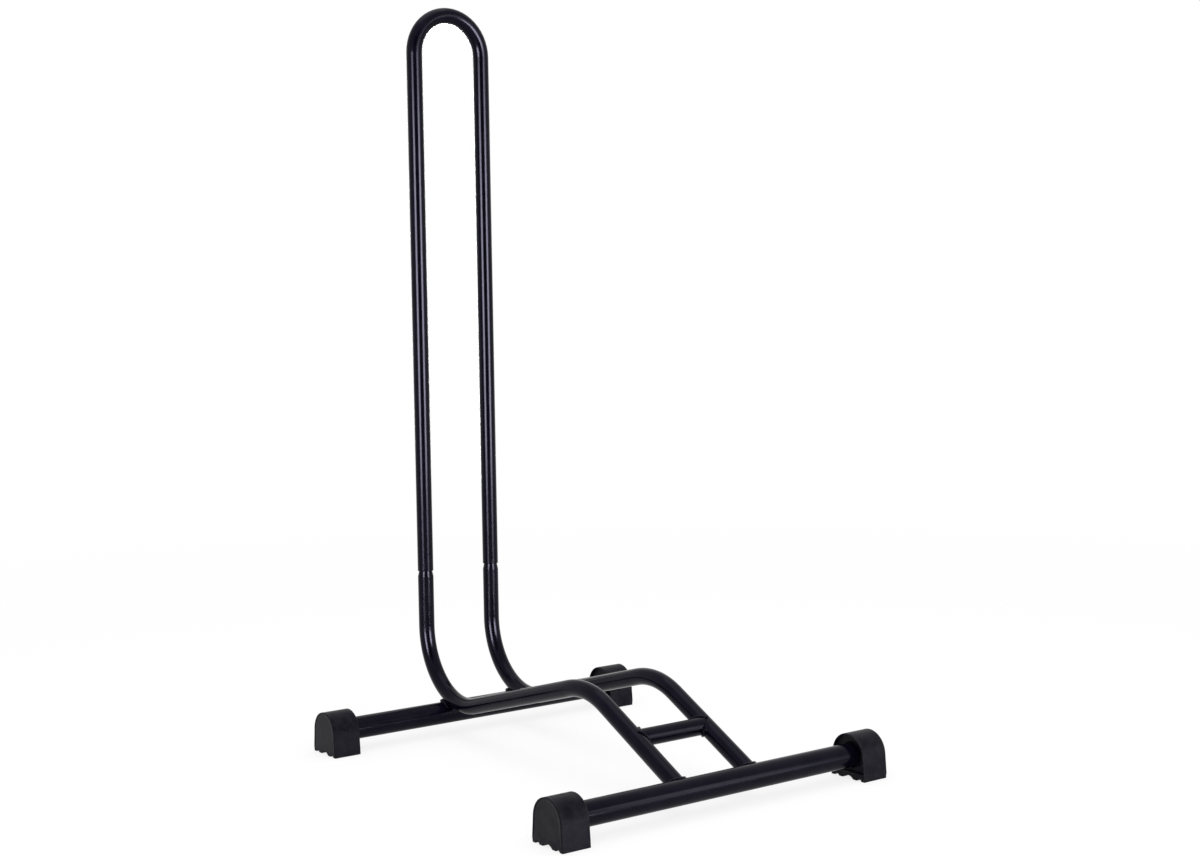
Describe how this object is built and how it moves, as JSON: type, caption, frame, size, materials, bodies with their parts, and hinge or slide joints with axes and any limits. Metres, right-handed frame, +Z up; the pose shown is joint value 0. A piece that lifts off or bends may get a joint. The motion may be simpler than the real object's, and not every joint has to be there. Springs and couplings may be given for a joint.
{
  "type": "floor bike rack",
  "caption": "Floor stand that holds a bicycle wheel upright between two bent ramp tubes and a tall narrow plug-on hoop, on cross tubes with grooved rubber feet.",
  "frame": {"origin": "on the floor, at the centre of the rack's outline seen from above", "axes": "+Z up; +Y from the ramp towards the hoop; X across the rack, along the cross tubes"},
  "size_m": [0.36, 0.4494, 0.735],
  "materials": {
    "powder_coat": "glossy black powder coat",
    "rubber": "matte black moulded rubber"
  },
  "bodies": {
    "base": {"rear_cross_tube": "powder_coat", "front_cross_tube": "powder_coat", "left_side_tube": "powder_coat", "right_side_tube": "powder_coat", "spacer_bar": "powder_coat", "front_left_foot": "rubber", "front_right_foot": "rubber", "rear_left_foot": "rubber", "rear_right_foot": "rubber", "front_left_weld": "powder_coat", "front_right_weld": "powder_coat", "spacer_left_weld": "powder_coat", "spacer_right_weld": "powder_coat", "rear_left_outer_weld": "powder_coat", "rear_left_inner_weld": "powder_coat", "rear_right_outer_weld": "powder_coat", "rear_right_inner_weld": "powder_coat"},
    "hoop": {"wheel_hoop": "powder_coat"}
  },
  "joints": [
    {"name": "hoop_lift", "type": "slide", "parent": "base", "child": "hoop", "axis": [0, 0, 1], "range_m": [0, 0.05]}
  ]
}
